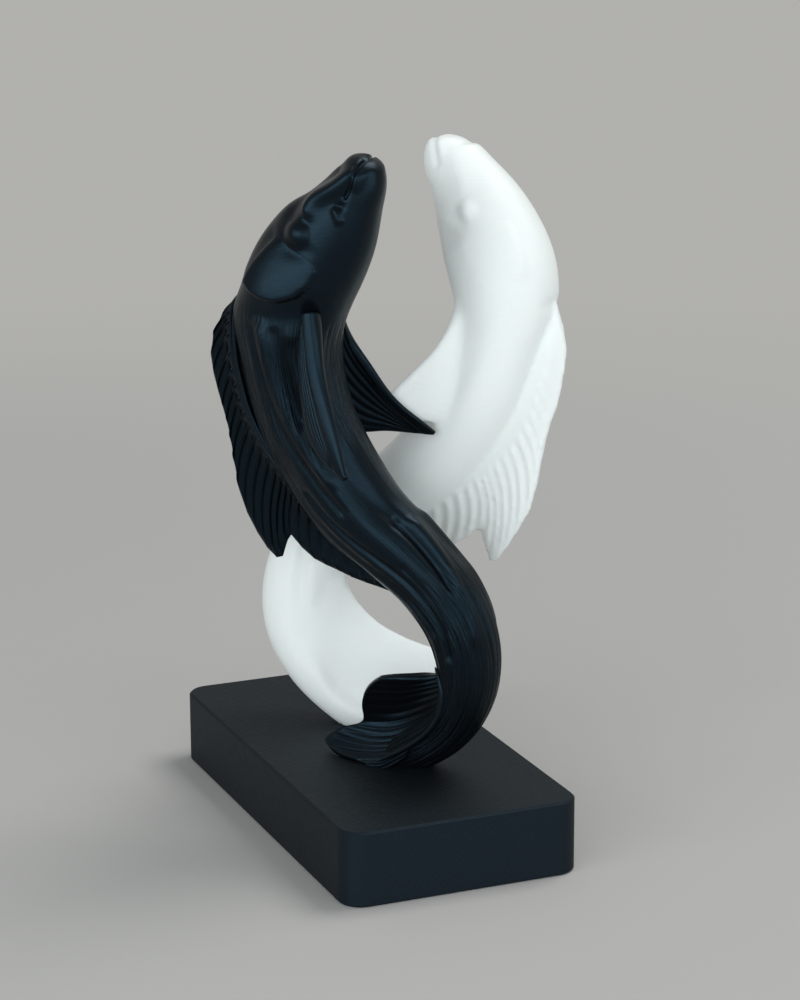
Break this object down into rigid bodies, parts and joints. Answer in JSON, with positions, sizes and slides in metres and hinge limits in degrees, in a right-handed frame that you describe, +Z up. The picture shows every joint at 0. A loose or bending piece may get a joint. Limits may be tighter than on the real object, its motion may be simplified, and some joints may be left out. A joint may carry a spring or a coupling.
{
  "type": "fish figurine",
  "caption": "Table ornament: a black koi and a white koi rise side by side from a low oblong plinth, tails curled under, heads up and leaning apart.",
  "frame": {"origin": "middle of the plinth's underside", "axes": "+Z up, +Y along the plinth's long side, +X along its short side"},
  "size_m": [0.0731, 0.1, 0.1469],
  "materials": {
    "plinth_plastic": "satin black with fine raster lines on the top",
    "black_plastic": "satin black with fine layer lines",
    "white_plastic": "satin white, slightly translucent, with fine layer lines"
  },
  "bodies": {
    "root": {"plinth": "plinth_plastic", "black_koi": "black_plastic", "white_koi": "white_plastic", "black_koi_dowels": "black_plastic", "white_koi_dowels": "white_plastic"}
  },
  "joints": []
}
